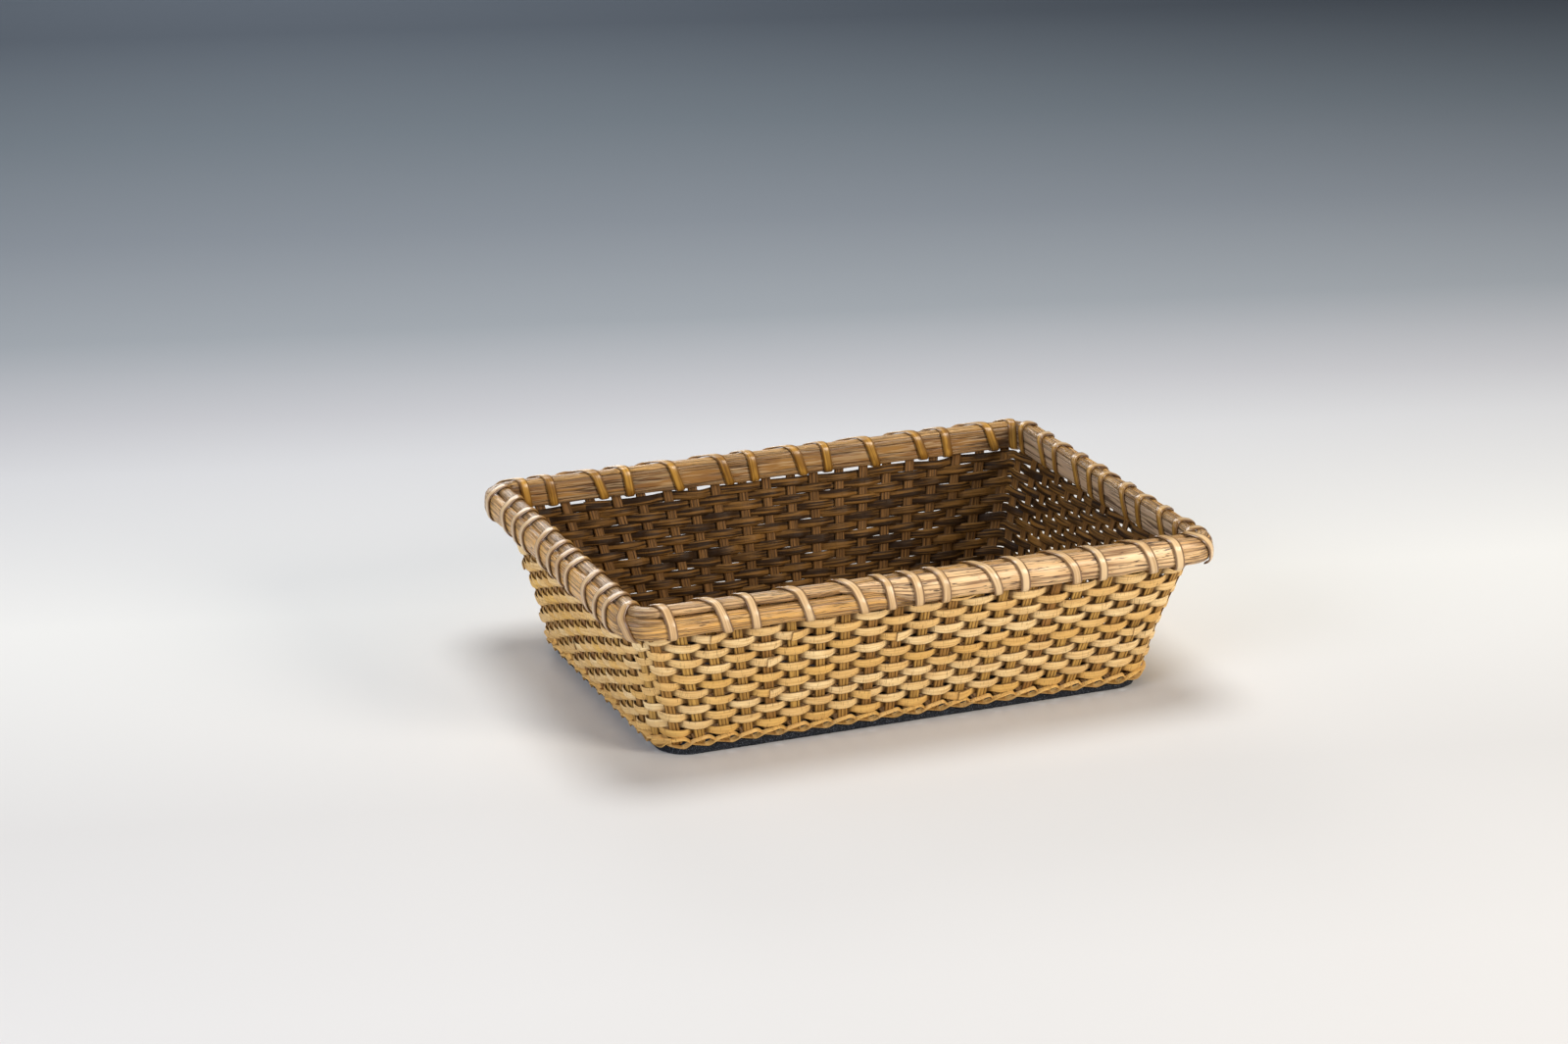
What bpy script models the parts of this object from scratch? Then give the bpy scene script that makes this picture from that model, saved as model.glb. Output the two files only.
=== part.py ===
"""Oblong woven basket with flaring walls, a lashed rim and a pad under its base.

Metres, +Z up. The origin is on the table under the middle of the basket.
X runs along the long side, and the front wall is the one at -Y.
"""
import math

import bmesh
import bpy
from mathutils import Vector

# Overall size, over the lashing
BASKET_LENGTH = 0.3000
BASKET_WIDTH = 0.2165
BASKET_HEIGHT = 0.0810

# Size of the woven body where it meets the base, over the weave
BASE_LENGTH = 0.2554
BASE_WIDTH = 0.1719
BASE_CORNER_RADIUS = 0.0140
RIM_CORNER_RADIUS = 0.0080

# Clearance that every touching pair keeps
FIT_GAP = 0.0003

# Stakes are flat reed with bevelled edges
STAKE_WIDTH = 0.0050
STAKE_FACE_WIDTH = 0.0026
STAKE_THICKNESS = 0.0018
STAKE_BEND_RADIUS = 0.0022
LONG_WALL_STAKES = 21
SHORT_WALL_STAKES = 15

# Weavers are thinner flat reed
WEAVER_THICKNESS = 0.0013
WEAVER_HEIGHT = 0.0038
ROW_CLEARANCE = 0.0003
TOP_ROW_BELOW_RIM = 0.0046
FOOT_ROW_RISE = 0.0020
FOOT_WEAVER_TUCK = 0.0010
FOOT_WEAVER_FLAT = 0.0034

# Rim: a half-round cane outside, a flat one inside and a thin one on top
OUTER_RIM_DEPTH = 0.0068
OUTER_RIM_HEIGHT = 0.0110
INNER_RIM_THICKNESS = 0.0030
INNER_RIM_HEIGHT = 0.0094
INNER_RIM_BEVEL = 0.0009
TOP_CANE_WIDTH = 0.0051
TOP_CANE_HEIGHT = 0.0036

# Lashing: flat peel wound round the rim, once or twice per stake gap
LASHING_WIDTH = 0.0046
LASHING_THICKNESS = 0.0008
LEAST_TURN_GAP = 0.0004
FRONT_LASHING_STEPS = (2, 1, 2, 2, 1, 1, 1, 2, 1, 2, 1, 2, 1, 1)
RIGHT_LASHING_STEPS = (1, 2, 1, 2, 1, 1, 2, 1, 2, 1)
BACK_LASHING_STEPS = (2, 1, 2, 2, 1, 2, 1, 2, 2, 1, 2, 1, 1)
LEFT_LASHING_STEPS = (2, 1, 1, 2, 1, 1, 1, 2, 1, 1, 1)

# Pad under the base
PAD_THICKNESS = 0.0044
PAD_CORNER_RADIUS = 0.0125
PAD_CLEARANCE = 0.0005

# Facets of round stretches
CORNER_STEPS = 6
RIM_ROUND_STEPS = 5
SMOOTH_ANGLE = math.radians(40)

# Turns of the lashing advance unevenly: these shares of a step are done at
# each point of a turn, from the slot up the inside and down the outside
TURN_ADVANCE_SHARES = (0.0, 0.06, 0.30, 0.36, 0.44, 0.54, 0.70, 0.84, 0.96, 1.0)

# Rounds in which a row's offsets settle against each other
SETTLING_ROUNDS = 5

# A stake counts as a corner stake past this turn of the wall at it
LEAST_CORNER_TURN = math.radians(12)
TURNED_SLANT = 1.2

# How far down the top cane's bevel the lashing starts to turn over it
LASHING_CREST_SHARE = 0.7

# Colours as linear values, roughness and metallic
STRAW = ((0.50, 0.33, 0.14, 1.0), 0.55, 0.0)
WEAVER_TAN = ((0.56, 0.38, 0.17, 1.0), 0.60, 0.0)
STAKE_BROWN = ((0.30, 0.19, 0.07, 1.0), 0.60, 0.0)
LASHING_GOLD = ((0.62, 0.42, 0.17, 1.0), 0.40, 0.0)
PAD_GREY = ((0.040, 0.045, 0.055, 1.0), 0.90, 0.0)

stakes_per_wall = (LONG_WALL_STAKES, SHORT_WALL_STAKES) * 2
stake_total = sum(stakes_per_wall)
weave_half = WEAVER_THICKNESS / 2
stake_half = STAKE_THICKNESS / 2
face_half = STAKE_FACE_WIDTH / 2
edge_half = STAKE_WIDTH / 2

# Heights, from the pad up to the rim
long_stake_level = PAD_THICKNESS + FIT_GAP + stake_half
short_stake_level = long_stake_level + STAKE_THICKNESS + FIT_GAP
top_cane_top = BASKET_HEIGHT - LASHING_THICKNESS - FIT_GAP
top_cane_bottom = top_cane_top - TOP_CANE_HEIGHT
inner_rim_top = top_cane_bottom - FIT_GAP
inner_rim_bottom = inner_rim_top - INNER_RIM_HEIGHT
stake_top = inner_rim_top
rim_bottom = inner_rim_bottom - FIT_GAP
top_row_level = rim_bottom - TOP_ROW_BELOW_RIM
foot_row_level = long_stake_level + FOOT_ROW_RISE

# As many rows as fit between the rim and the foot weaver
woven_height = top_row_level - foot_row_level
wall_rows = int(woven_height / (WEAVER_HEIGHT + ROW_CLEARANCE))
row_pitch = woven_height / wall_rows

# Offsets from the middle of the wall, outward positive
rim_face = stake_half + FIT_GAP
rim_outer = rim_face + OUTER_RIM_DEPTH
rim_inner = -rim_face - INNER_RIM_THICKNESS
lashing_reach = rim_outer + FIT_GAP + LASHING_THICKNESS
wound_gap = FIT_GAP + LASHING_THICKNESS / 2
top_cane_bevel = TOP_CANE_WIDTH / 4


class Outline:
    """Rounded rectangle that a level of the wall follows, by arc length."""

    def __init__(self, half_x, half_y, radius):
        self.half_x = half_x
        self.half_y = half_y
        self.radius = radius
        self.long_run = 2 * (half_x - radius)
        self.short_run = 2 * (half_y - radius)
        self.runs = (self.long_run, self.short_run) * 2
        self.corner_run = radius * math.pi / 2
        self.length = sum(self.runs) + 4 * self.corner_run

    def stake_distance(self, number):
        """Arc length at a stake's number, which may lie between two stakes. Each
        wall, up to the middles of its corners, holds its stakes evenly."""
        left = (number + LONG_WALL_STAKES / 2) % stake_total
        distance = -(self.long_run + self.corner_run) / 2
        for count, run in zip(stakes_per_wall, self.runs):
            wall = run + self.corner_run
            if left <= count:
                return distance + wall * left / count
            left -= count
            distance += wall
        return distance

    def place(self, distance, offset=0.0):
        """Point, forward direction and outward direction, going counterclockwise
        from the middle of the front wall."""
        left = (distance + self.long_run / 2) % self.length
        heading = 0.0
        corner = Vector((-self.half_x + self.radius, -self.half_y + self.radius))
        for run in self.runs:
            forward = Vector((math.cos(heading), math.sin(heading)))
            outward = Vector((forward.y, -forward.x))
            if left <= run:
                point = corner + forward * left + outward * (self.radius + offset)
                return point, forward, outward
            left -= run
            corner = corner + forward * run
            if left <= self.corner_run:
                turn = heading + left / self.radius
                forward = Vector((math.cos(turn), math.sin(turn)))
                outward = Vector((forward.y, -forward.x))
                return corner + outward * (self.radius + offset), forward, outward
            left -= self.corner_run
            heading += math.pi / 2
        return self.place(0.0, offset)

    def stops(self):
        """Arc lengths where a faceted ring needs a section."""
        distances = []
        start = -self.long_run / 2
        for run in self.runs:
            start += run
            for step in range(CORNER_STEPS + 1):
                distances.append(start + self.corner_run * step / CORNER_STEPS)
            start += self.corner_run
        return distances


def level(point, height):
    return Vector((point.x, point.y, height))


def flat(direction):
    return Vector((direction.x, direction.y, 0.0))


def finish_object(name, mesh_data, material):
    mesh_data.materials.append(material)
    made = bpy.data.objects.new(name, mesh_data)
    bpy.context.scene.collection.objects.link(made)
    return made


def mesh_from(name, vertices, faces, smooth=False):
    mesh = bpy.data.meshes.new(name)
    mesh.from_pydata([tuple(vertex) for vertex in vertices], [], faces)
    work = bmesh.new()
    work.from_mesh(mesh)
    bmesh.ops.triangulate(work, faces=work.faces[:])
    bmesh.ops.recalc_face_normals(work, faces=work.faces[:])
    work.to_mesh(mesh)
    work.free()
    if smooth:
        mesh.shade_smooth()
        mesh.set_sharp_from_angle(angle=SMOOTH_ANGLE)
    return mesh


def skin(name, sections, closed, material, smooth=False):
    """Join matching sections into one body, as a ring or with two end caps."""
    size = len(sections[0])
    count = len(sections)
    vertices = [vertex for section in sections for vertex in section]
    faces = []
    for index in range(count if closed else count - 1):
        here = index * size
        there = (index + 1) % count * size
        for side in range(size):
            after = (side + 1) % size
            faces.append((here + side, here + after, there + after, there + side))
    if not closed:
        faces.append(tuple(range(size)))
        faces.append(tuple(range((count - 1) * size, count * size)))
    return finish_object(name, mesh_from(name, vertices, faces, smooth), material)


def make_material(name, look):
    colour, roughness, metallic = look
    material = bpy.data.materials.new(name)
    material.use_nodes = True
    shader = material.node_tree.nodes["Principled BSDF"]
    shader.inputs["Base Color"].default_value = colour
    shader.inputs["Roughness"].default_value = roughness
    shader.inputs["Metallic"].default_value = metallic
    material.diffuse_color = colour
    return material


def weave_swing(spacing):
    """How far a weaver's middle swings from the wall's middle to clear a stake."""
    needed = stake_half + FIT_GAP + weave_half
    return needed / (1 - STAKE_FACE_WIDTH / spacing)


def body_outlines():
    """Middle lines of the wall at the base and inside the rim."""
    base_spacing = (BASE_LENGTH + BASE_WIDTH) * 2 / stake_total
    inset = weave_swing(base_spacing) + weave_half
    base = Outline(BASE_LENGTH / 2 - inset, BASE_WIDTH / 2 - inset, BASE_CORNER_RADIUS)
    rim = Outline(
        BASKET_LENGTH / 2 - lashing_reach,
        BASKET_WIDTH / 2 - lashing_reach,
        RIM_CORNER_RADIUS,
    )
    return base, rim


class Stake:
    """One upright of the wall: a straight line from the base to the rim."""

    def __init__(self, index, base, rim):
        foot, foot_forward, _ = base.place(base.stake_distance(index))
        head, head_forward, head_outward = rim.place(rim.stake_distance(index))
        self.foot = level(foot, long_stake_level)
        self.head = level(head, rim_bottom)
        self.rise = (self.head - self.foot).normalized()
        self.foot_forward = flat(foot_forward)
        self.head_forward = flat(head_forward)
        self.head_outward = flat(head_outward)
        self.quarter = self.find_wall(index)
        self.base_out = (Vector((0, -1, 0)), Vector((1, 0, 0)),
                         Vector((0, 1, 0)), Vector((-1, 0, 0)))[self.quarter]
        self.base_forward = Vector((-self.base_out.y, self.base_out.x, 0.0))
        self.base_level = short_stake_level if self.quarter % 2 else long_stake_level
        self.turned = False

    @staticmethod
    def find_wall(index):
        place = (index + (LONG_WALL_STAKES - 1) // 2) % stake_total
        for wall, count in enumerate(stakes_per_wall):
            if place < count:
                return wall
            place -= count
        return 0

    def at_height(self, height):
        share = (height - self.foot.z) / (self.head.z - self.foot.z)
        middle = self.foot.lerp(self.head, share)
        forward = self.foot_forward.lerp(self.head_forward, min(max(share, 0.0), 1.0))
        outward = forward.cross(self.rise).normalized()
        forward = self.rise.cross(outward).normalized()
        return middle, forward, outward

    def section(self, middle, forward, outward):
        corners = (
            (edge_half, 0.0), (face_half, stake_half), (-face_half, stake_half),
            (-edge_half, 0.0), (-face_half, -stake_half), (face_half, -stake_half),
        )
        return [middle + forward * across + outward * out for across, out in corners]

    def half_path(self):
        """Sections from the rim down to the base's flat stretch."""
        foot, _, _ = self.at_height(self.base_level)
        turn = self.base_out.angle(self.rise)
        tangent = STAKE_BEND_RADIUS * math.tan(turn / 2)
        _, forward, outward = self.at_height(foot.z + tangent)
        _, head_forward, head_outward = self.at_height(rim_bottom)
        down = Vector((0, 0, -1))
        shared = (head_outward + self.head_outward).normalized()
        diagonal = (outward + down).normalized()
        return [
            (level(self.head, stake_top), self.head_forward, self.head_outward),
            (self.head, self.head_forward, shared),
            (foot + self.rise * tangent, forward, (outward + diagonal).normalized()),
            (foot - self.base_out * tangent, self.base_forward,
             (down + diagonal).normalized()),
        ]


def mark_turned(stakes):
    """Note the stakes where the wall turns a corner, at its foot or its head."""
    for index, stake in enumerate(stakes):
        before = stakes[index - 1]
        after = stakes[(index + 1) % stake_total]
        foot_turn = (stake.foot - before.foot).angle(after.foot - stake.foot)
        head_turn = (stake.head - before.head).angle(after.head - stake.head)
        stake.turned = max(foot_turn, head_turn) > LEAST_CORNER_TURN


def make_stake(name, stake, opposite, material):
    """One length of reed: down a wall, across the base and up the other wall."""
    sections = []
    for middle, forward, outward in stake.half_path():
        sections.append(stake.section(middle, forward, outward))
    for middle, forward, outward in reversed(opposite.half_path()):
        sections.append(stake.section(middle, -forward, outward))
    return skin(name, sections, False, material)


def make_all_stakes(stakes, material):
    first_long = (LONG_WALL_STAKES - 1) // 2
    for step in range(LONG_WALL_STAKES):
        index = step - first_long
        opposite = stake_total // 2 - index
        make_stake(f"long_wall_stake_{step + 1:02d}", stakes[index % stake_total],
                   stakes[opposite % stake_total], material)
    first_short = stake_total // 4 - (SHORT_WALL_STAKES - 1) // 2
    for step in range(SHORT_WALL_STAKES):
        index = first_short + step
        opposite = stake_total - index
        make_stake(f"short_wall_stake_{step + 1:02d}", stakes[index % stake_total],
                   stakes[opposite % stake_total], material)


def wall_station(spot, side, swing, beside_way, turned):
    """Where the weaver's middle passes a stake, on the side of one neighbour."""
    middle, forward, outward = spot
    station = middle + outward * side * swing
    if turned and side > 0:
        station += forward * beside_way * edge_half
    return station


def clear_offset(spot, station, side, slant):
    """Offset at one stake that keeps the weaver's near face clear of this
    stake's face and edge on its straight run to a station, and the slant."""
    middle, forward, outward = spot
    run = station - middle
    apart = abs(run.dot(forward))
    fall = -run.dot(outward) * side + weave_half * slant
    face = 0.0
    for reach, thickness in ((face_half, stake_half), (edge_half, 0.0)):
        share = reach / apart
        face = max(face, (thickness + FIT_GAP + fall * share) / (1 - share))
    return face + weave_half * slant, math.hypot(1, (face + fall) / apart)


def row_offsets(spots, turned, parity):
    """Offsets and slants along a whole row, settled over a few rounds."""
    count = len(spots)
    settled = [(weave_swing((spots[0][0] - spots[1][0]).length), 1.0)] * count
    for _ in range(SETTLING_ROUNDS):
        last = settled
        settled = []
        for index, spot in enumerate(spots):
            side = 1 if (index + parity) % 2 else -1
            slant = last[index][1]
            if turned[index] and side > 0:
                settled.append((stake_half + FIT_GAP + weave_half * slant, TURNED_SLANT))
                continue
            tries = []
            for way in (-1, 1):
                beside = (index + way) % count
                station = wall_station(spots[beside], -side, last[beside][0], -way,
                                       turned[beside])
                tries.append(clear_offset(spot, station, side, slant))
            settled.append((max(offset for offset, _ in tries),
                            max(steep for _, steep in tries)))
    return settled


def make_wall_row(number, stakes, material):
    """One flat weaver that passes outside and inside the stakes by turns. It
    runs flat across the outside of a stake where the wall turns a corner."""
    height = top_row_level - (number - 1) * row_pitch
    spots = [stake.at_height(height) for stake in stakes]
    turned = [stake.turned for stake in stakes]
    offsets = row_offsets(spots, turned, number)
    sections = []
    for index, spot in enumerate(spots):
        side = 1 if (index + number) % 2 else -1
        swing, slant = offsets[index]
        thick = spot[2] * weave_half * slant
        tall = stakes[index].rise * WEAVER_HEIGHT / 2
        ways = (-1, 1) if turned[index] and side > 0 else (0,)
        for way in ways:
            centre = wall_station(spot, side, swing, way, way != 0)
            sections.append([centre - thick - tall, centre + thick - tall,
                             centre + thick + tall, centre - thick + tall])
    return skin(f"wall_weaver_{number:02d}", sections, True, material)


def make_foot_row(stakes, material):
    """The lowest weaver: outside one stake, then flat under the next one's bend."""
    under = Vector((0, 0, -1))
    sections = []
    for index, stake in enumerate(stakes):
        if (index + wall_rows + 1) % 2:
            middle, forward, outward = stake.at_height(foot_row_level)
            offset = weave_swing((stakes[0].foot - stakes[1].foot).length)
            centre = middle + outward * offset
            tall = stake.rise * WEAVER_HEIGHT / 2
        else:
            middle, _, _ = stake.at_height(stake.base_level)
            forward = stake.base_forward
            outward = under
            offset = stake_half + FIT_GAP + weave_half
            centre = middle - stake.base_out * FOOT_WEAVER_TUCK + outward * offset
            tall = stake.base_out * WEAVER_HEIGHT / 2
        thick = outward * weave_half
        for way in (-1, 1):
            spot = centre + forward * way * FOOT_WEAVER_FLAT / 2
            sections.append([spot - thick - tall, spot + thick - tall,
                             spot + thick + tall, spot - thick + tall])
    return skin("foot_weaver", sections, True, material)


def make_rim_ring(name, rim, profile, material):
    """A cane bent round the whole rim, from a profile of offsets and heights."""
    sections = []
    for distance in rim.stops():
        section = []
        for offset, height in profile:
            point, _, _ = rim.place(distance, offset)
            section.append(level(point, height))
        sections.append(section)
    return skin(name, sections, True, material, smooth=True)


def outer_rim_profile():
    """Half-round section, its flat side against the stakes."""
    points = []
    for step in range(RIM_ROUND_STEPS + 1):
        points.append(outer_rim_point(step, 0.0))
    return points


def outer_rim_point(step, grow):
    """Point of the half-round, from its lower edge up, or that far off it."""
    angle = outer_rim_angle(step)
    middle = rim_bottom + OUTER_RIM_HEIGHT / 2
    return (rim_face + (OUTER_RIM_DEPTH + grow) * math.cos(angle),
            middle + (OUTER_RIM_HEIGHT / 2 + grow) * math.sin(angle))


def outer_rim_angle(step):
    return math.pi * (step / RIM_ROUND_STEPS - 1 / 2)


def inner_rim_profile():
    bevel = INNER_RIM_BEVEL
    return (
        (-rim_face, inner_rim_bottom), (-rim_face, inner_rim_top),
        (rim_inner + bevel, inner_rim_top), (rim_inner, inner_rim_top - bevel),
        (rim_inner, inner_rim_bottom + bevel), (rim_inner + bevel, inner_rim_bottom),
    )


def top_cane_profile():
    """Flat-bottomed oval that caps the stakes' ends and the inner cane."""
    outer = rim_face - FIT_GAP
    inner = outer - TOP_CANE_WIDTH
    shoulder = (top_cane_bottom + top_cane_top) / 2
    bevel = top_cane_bevel
    return (
        (inner + bevel, top_cane_bottom), (inner, shoulder), (inner + bevel, top_cane_top),
        (outer - bevel, top_cane_top), (outer, shoulder), (outer, top_cane_bottom),
    )


def lashing_turn():
    """One turn round the rim bundle, from the inner end of one slot to the outer
    end of the next: offsets, heights, and where the strip's face looks, in
    degrees up from straight out."""
    below = rim_bottom - wound_gap
    above = top_cane_top + wound_gap
    inside = rim_inner - wound_gap
    shoulder = (top_cane_bottom + top_cane_top) / 2
    cane_outer = rim_face - FIT_GAP
    cane_inner = cane_outer - TOP_CANE_WIDTH
    turn = [
        (rim_inner + INNER_RIM_BEVEL, below, 270),
        (inside, inner_rim_bottom, 225),
        (inside, shoulder, 165),
        (cane_inner + top_cane_bevel * LASHING_CREST_SHARE, above, 120),
        (cane_outer - top_cane_bevel * LASHING_CREST_SHARE, above, 75),
    ]
    grow = wound_gap / math.cos(math.pi / RIM_ROUND_STEPS / 2)
    for step in range(RIM_ROUND_STEPS - 1, 0, -1):
        offset, height = outer_rim_point(step, grow)
        turn.append((offset, height, math.degrees(outer_rim_angle(step))))
    turn.append((rim_face + OUTER_RIM_DEPTH / 2, below, -90))
    return turn


def lashing_section(rim, distance, offset, height, degrees):
    point, forward, outward = rim.place(distance, offset)
    normal = flat(outward) * math.cos(math.radians(degrees))
    normal.z = math.sin(math.radians(degrees))
    centre = level(point, height)
    wide = flat(forward) * LASHING_WIDTH / 2
    thick = normal * LASHING_THICKNESS / 2
    return centre, [centre - wide - thick, centre + wide - thick,
                    centre + wide + thick, centre - wide + thick]


def least_turn_gap(centres, turn_size):
    """Least gap between points of a winding that are on unlike turns."""
    least = math.inf
    for index, centre in enumerate(centres):
        for other in centres[index + turn_size // 2 + 1:]:
            least = min(least, (centre - other).length)
    return least - LASHING_WIDTH


def make_lashing(name, rim, first_gap, steps, material):
    """An unbroken strip wound round the rim, through the slots under it. Its
    ends lie straight in the first and the last slot, square to the wall."""
    turn = lashing_turn()
    gap = first_gap
    start_offset, slot_height, slot_degrees = turn[-1]
    placed = [(gap, start_offset, slot_height, slot_degrees)]
    for step in steps:
        for share, (offset, height, degrees) in zip(TURN_ADVANCE_SHARES, turn):
            placed.append((gap + step * share, offset, height, degrees))
        gap += step
    end_offset, end_height, end_degrees = turn[0]
    placed.append((gap, end_offset, end_height, end_degrees))
    centres = []
    sections = []
    for number, offset, height, degrees in placed:
        distance = rim.stake_distance(number)
        centre, section = lashing_section(rim, distance, offset, height, degrees)
        centres.append(centre)
        sections.append(section)
    least = least_turn_gap(centres, len(turn))
    verdict = "clear" if least > LEAST_TURN_GAP else "too close"
    print(f"{name}: {len(steps)} turns, least gap to itself {least:.5f} m, {verdict}")
    return skin(name, sections, False, material)


def make_rim(rim, cane, peel):
    make_rim_ring("outer_rim_cane", rim, outer_rim_profile(), cane)
    make_rim_ring("inner_rim_cane", rim, inner_rim_profile(), cane)
    make_rim_ring("top_rim_cane", rim, top_cane_profile(), cane)
    walls = (("front", FRONT_LASHING_STEPS), ("right", RIGHT_LASHING_STEPS),
             ("back", BACK_LASHING_STEPS), ("left", LEFT_LASHING_STEPS))
    gap = 1 - LONG_WALL_STAKES / 2
    for wall, steps in walls:
        make_lashing(f"{wall}_lashing", rim, gap, steps, peel)
        gap += sum(steps) + 1


def make_pad(base, material):
    """Flat pad, inside the lowest weaver's inner edge."""
    inset = WEAVER_HEIGHT / 2 + FOOT_WEAVER_TUCK + PAD_CLEARANCE
    edge = Outline(base.half_x - inset, base.half_y - inset, PAD_CORNER_RADIUS)
    sections = []
    for height in (0.0, PAD_THICKNESS):
        section = []
        for distance in edge.stops():
            point, _, _ = edge.place(distance)
            section.append(level(point, height))
        sections.append(section)
    return skin("base_pad", sections, False, material)


def build():
    for old in list(bpy.data.objects):
        bpy.data.objects.remove(old, do_unlink=True)
    base, rim = body_outlines()
    stakes = [Stake(index, base, rim) for index in range(stake_total)]
    mark_turned(stakes)
    cane = make_material("straw_cane", STRAW)
    reed = make_material("tan_reed", WEAVER_TAN)
    dark_reed = make_material("brown_reed", STAKE_BROWN)
    peel = make_material("golden_peel", LASHING_GOLD)
    felt = make_material("grey_pad", PAD_GREY)
    make_all_stakes(stakes, dark_reed)
    for number in range(1, wall_rows + 1):
        make_wall_row(number, stakes, reed)
    make_foot_row(stakes, reed)
    make_rim(rim, cane, peel)
    make_pad(base, felt)


build()
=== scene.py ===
from math import cos, pi, radians, sin, sqrt

import bmesh
import bpy
import numpy as np
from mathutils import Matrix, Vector


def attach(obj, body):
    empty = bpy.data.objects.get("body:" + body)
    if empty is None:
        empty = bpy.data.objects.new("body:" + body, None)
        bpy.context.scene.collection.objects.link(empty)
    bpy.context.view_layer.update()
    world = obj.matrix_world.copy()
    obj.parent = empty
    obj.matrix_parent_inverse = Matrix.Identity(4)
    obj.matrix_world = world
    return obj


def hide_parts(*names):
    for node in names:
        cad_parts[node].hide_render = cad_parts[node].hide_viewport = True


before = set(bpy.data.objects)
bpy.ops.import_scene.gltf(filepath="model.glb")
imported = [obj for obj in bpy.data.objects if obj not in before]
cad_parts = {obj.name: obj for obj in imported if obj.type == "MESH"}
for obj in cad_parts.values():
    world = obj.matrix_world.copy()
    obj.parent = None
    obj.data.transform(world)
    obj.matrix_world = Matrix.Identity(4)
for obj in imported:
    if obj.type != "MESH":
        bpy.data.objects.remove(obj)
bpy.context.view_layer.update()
print("frame loaded:", len(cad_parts), "parts")

# Sizes are in millimetres, and turned to metres when a mesh is made
metresPerMillimetre = 0.001
straightUp = np.array([0.0, 0.0, 1.0])

# The wall stands between two rounded outlines. Places round it are whole numbers at the
# stakes, from the middle of the front to the right
wall = {
    "longStakes": 21,
    "shortStakes": 15,
    "foot": {"halfX": 124.68, "halfY": 82.93, "radius": 14.0},
    "head": {"halfX": 140.9, "halfY": 99.15, "radius": 8.0},
    "footLevel": 5.6,
    "headLevel": 66.3,
    "headShift": 0.055,  # how unevenly the stakes stand, in spacings
    "footShift": 0.040,
    "cornerPull": 4.0,  # the wall rounds its corners more than the rim does
    "pullReach": 1.25,  # in spacings
    "spacing": 11.5,  # from stake to stake, near enough
}
stakesAll = 2 * (wall["longStakes"] + wall["shortStakes"])
# the walls' starts, counted from the front-left corner, and the corners' places
wallStarts = np.array([0, wall["longStakes"], stakesAll // 2, stakesAll // 2 + wall["longStakes"]])
cornerNumbers = wallStarts - wall["longStakes"] / 2
chance = np.random.default_rng(7)
headShift = chance.uniform(-1, 1, stakesAll) * wall["headShift"]
footShift = chance.uniform(-1, 1, stakesAll) * wall["footShift"]


def unit(vectors):
    return vectors / np.linalg.norm(vectors, axis=-1, keepdims=True)


def ease(share):
    # 0 to 1 with a soft start and end
    share = np.clip(share, 0, 1)
    return share * share * (3 - 2 * share)


def blend(first, last, share):
    return first * (1 - share) + last * share


def shifted(number, shifts):
    return number + np.interp(number, np.arange(stakesAll), shifts, period=stakesAll)


def nearCorner(number, reach):
    # 1 at a corner, and fading over so many spacings
    gaps = number[..., None] - cornerNumbers
    gap = np.abs((gaps + stakesAll / 2) % stakesAll - stakesAll / 2).min(-1)
    return np.exp(-(gap / reach) ** 2)


def outlinePoint(outline, number, offset=0.0):
    # place, forward and outward directions on a rounded outline, counterclockwise
    place = (number + wall["longStakes"] / 2) % stakesAll
    side = np.searchsorted(wallStarts, place, side="right") - 1
    isLong = side % 2 == 0
    count = np.where(isLong, wall["longStakes"], wall["shortStakes"])
    radius = outline["radius"]
    straight = np.where(isLong, outline["halfX"], outline["halfY"]) - radius
    depth = np.where(isLong, outline["halfY"], outline["halfX"])
    along = ((place - wallStarts[side]) / count * 2 - 1) * (straight + radius * pi / 4)
    turn = np.sign(along) * np.clip(np.abs(along) - straight, 0, None) / radius
    across = np.clip(along, -straight, straight) + radius * np.sin(turn)
    out = depth - radius + radius * np.cos(turn)
    quarter = side * pi / 2
    heading = quarter + turn
    flat = np.zeros_like(heading)
    forward = np.stack([np.cos(heading), np.sin(heading), flat], -1)
    outward = np.stack([np.sin(heading), -np.cos(heading), flat], -1)
    point = np.stack([across * np.cos(quarter) + out * np.sin(quarter),
                      across * np.sin(quarter) - out * np.cos(quarter), flat], -1)
    return point + outward * np.asarray(offset, float)[..., None], forward, outward


def wallPoint(number, height):
    # middle of the wall, with its directions along, outward and up the slope
    height = np.broadcast_to(height, number.shape)
    foot, footAlong, _ = outlinePoint(wall["foot"], shifted(number, footShift))
    head, headAlong, _ = outlinePoint(wall["head"], shifted(number, headShift))
    foot[..., 2] = wall["footLevel"]
    head[..., 2] = wall["headLevel"]
    share = ((height - wall["footLevel"]) / (wall["headLevel"] - wall["footLevel"]))[..., None]
    rise = unit(head - foot)
    outward = unit(np.cross(footAlong + (headAlong - footAlong) * np.clip(share, 0, 1), rise))
    pull = wall["cornerPull"] * nearCorner(number, wall["pullReach"])[..., None]
    # none under the rim, and a third of it at the foot
    pull = pull * ease((1 - share) / 0.07) * (0.35 + 0.65 * ease(share / 0.5))
    return foot + (head - foot) * share - outward * pull, np.cross(rise, outward), outward, rise


def onShortWall(number):
    # 1 on the left and right walls and 0 on the long ones
    away = np.abs(number % (stakesAll / 2) - stakesAll / 4)
    return ease((wall["shortStakes"] / 2 + 0.8 - away) / 1.6)


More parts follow.
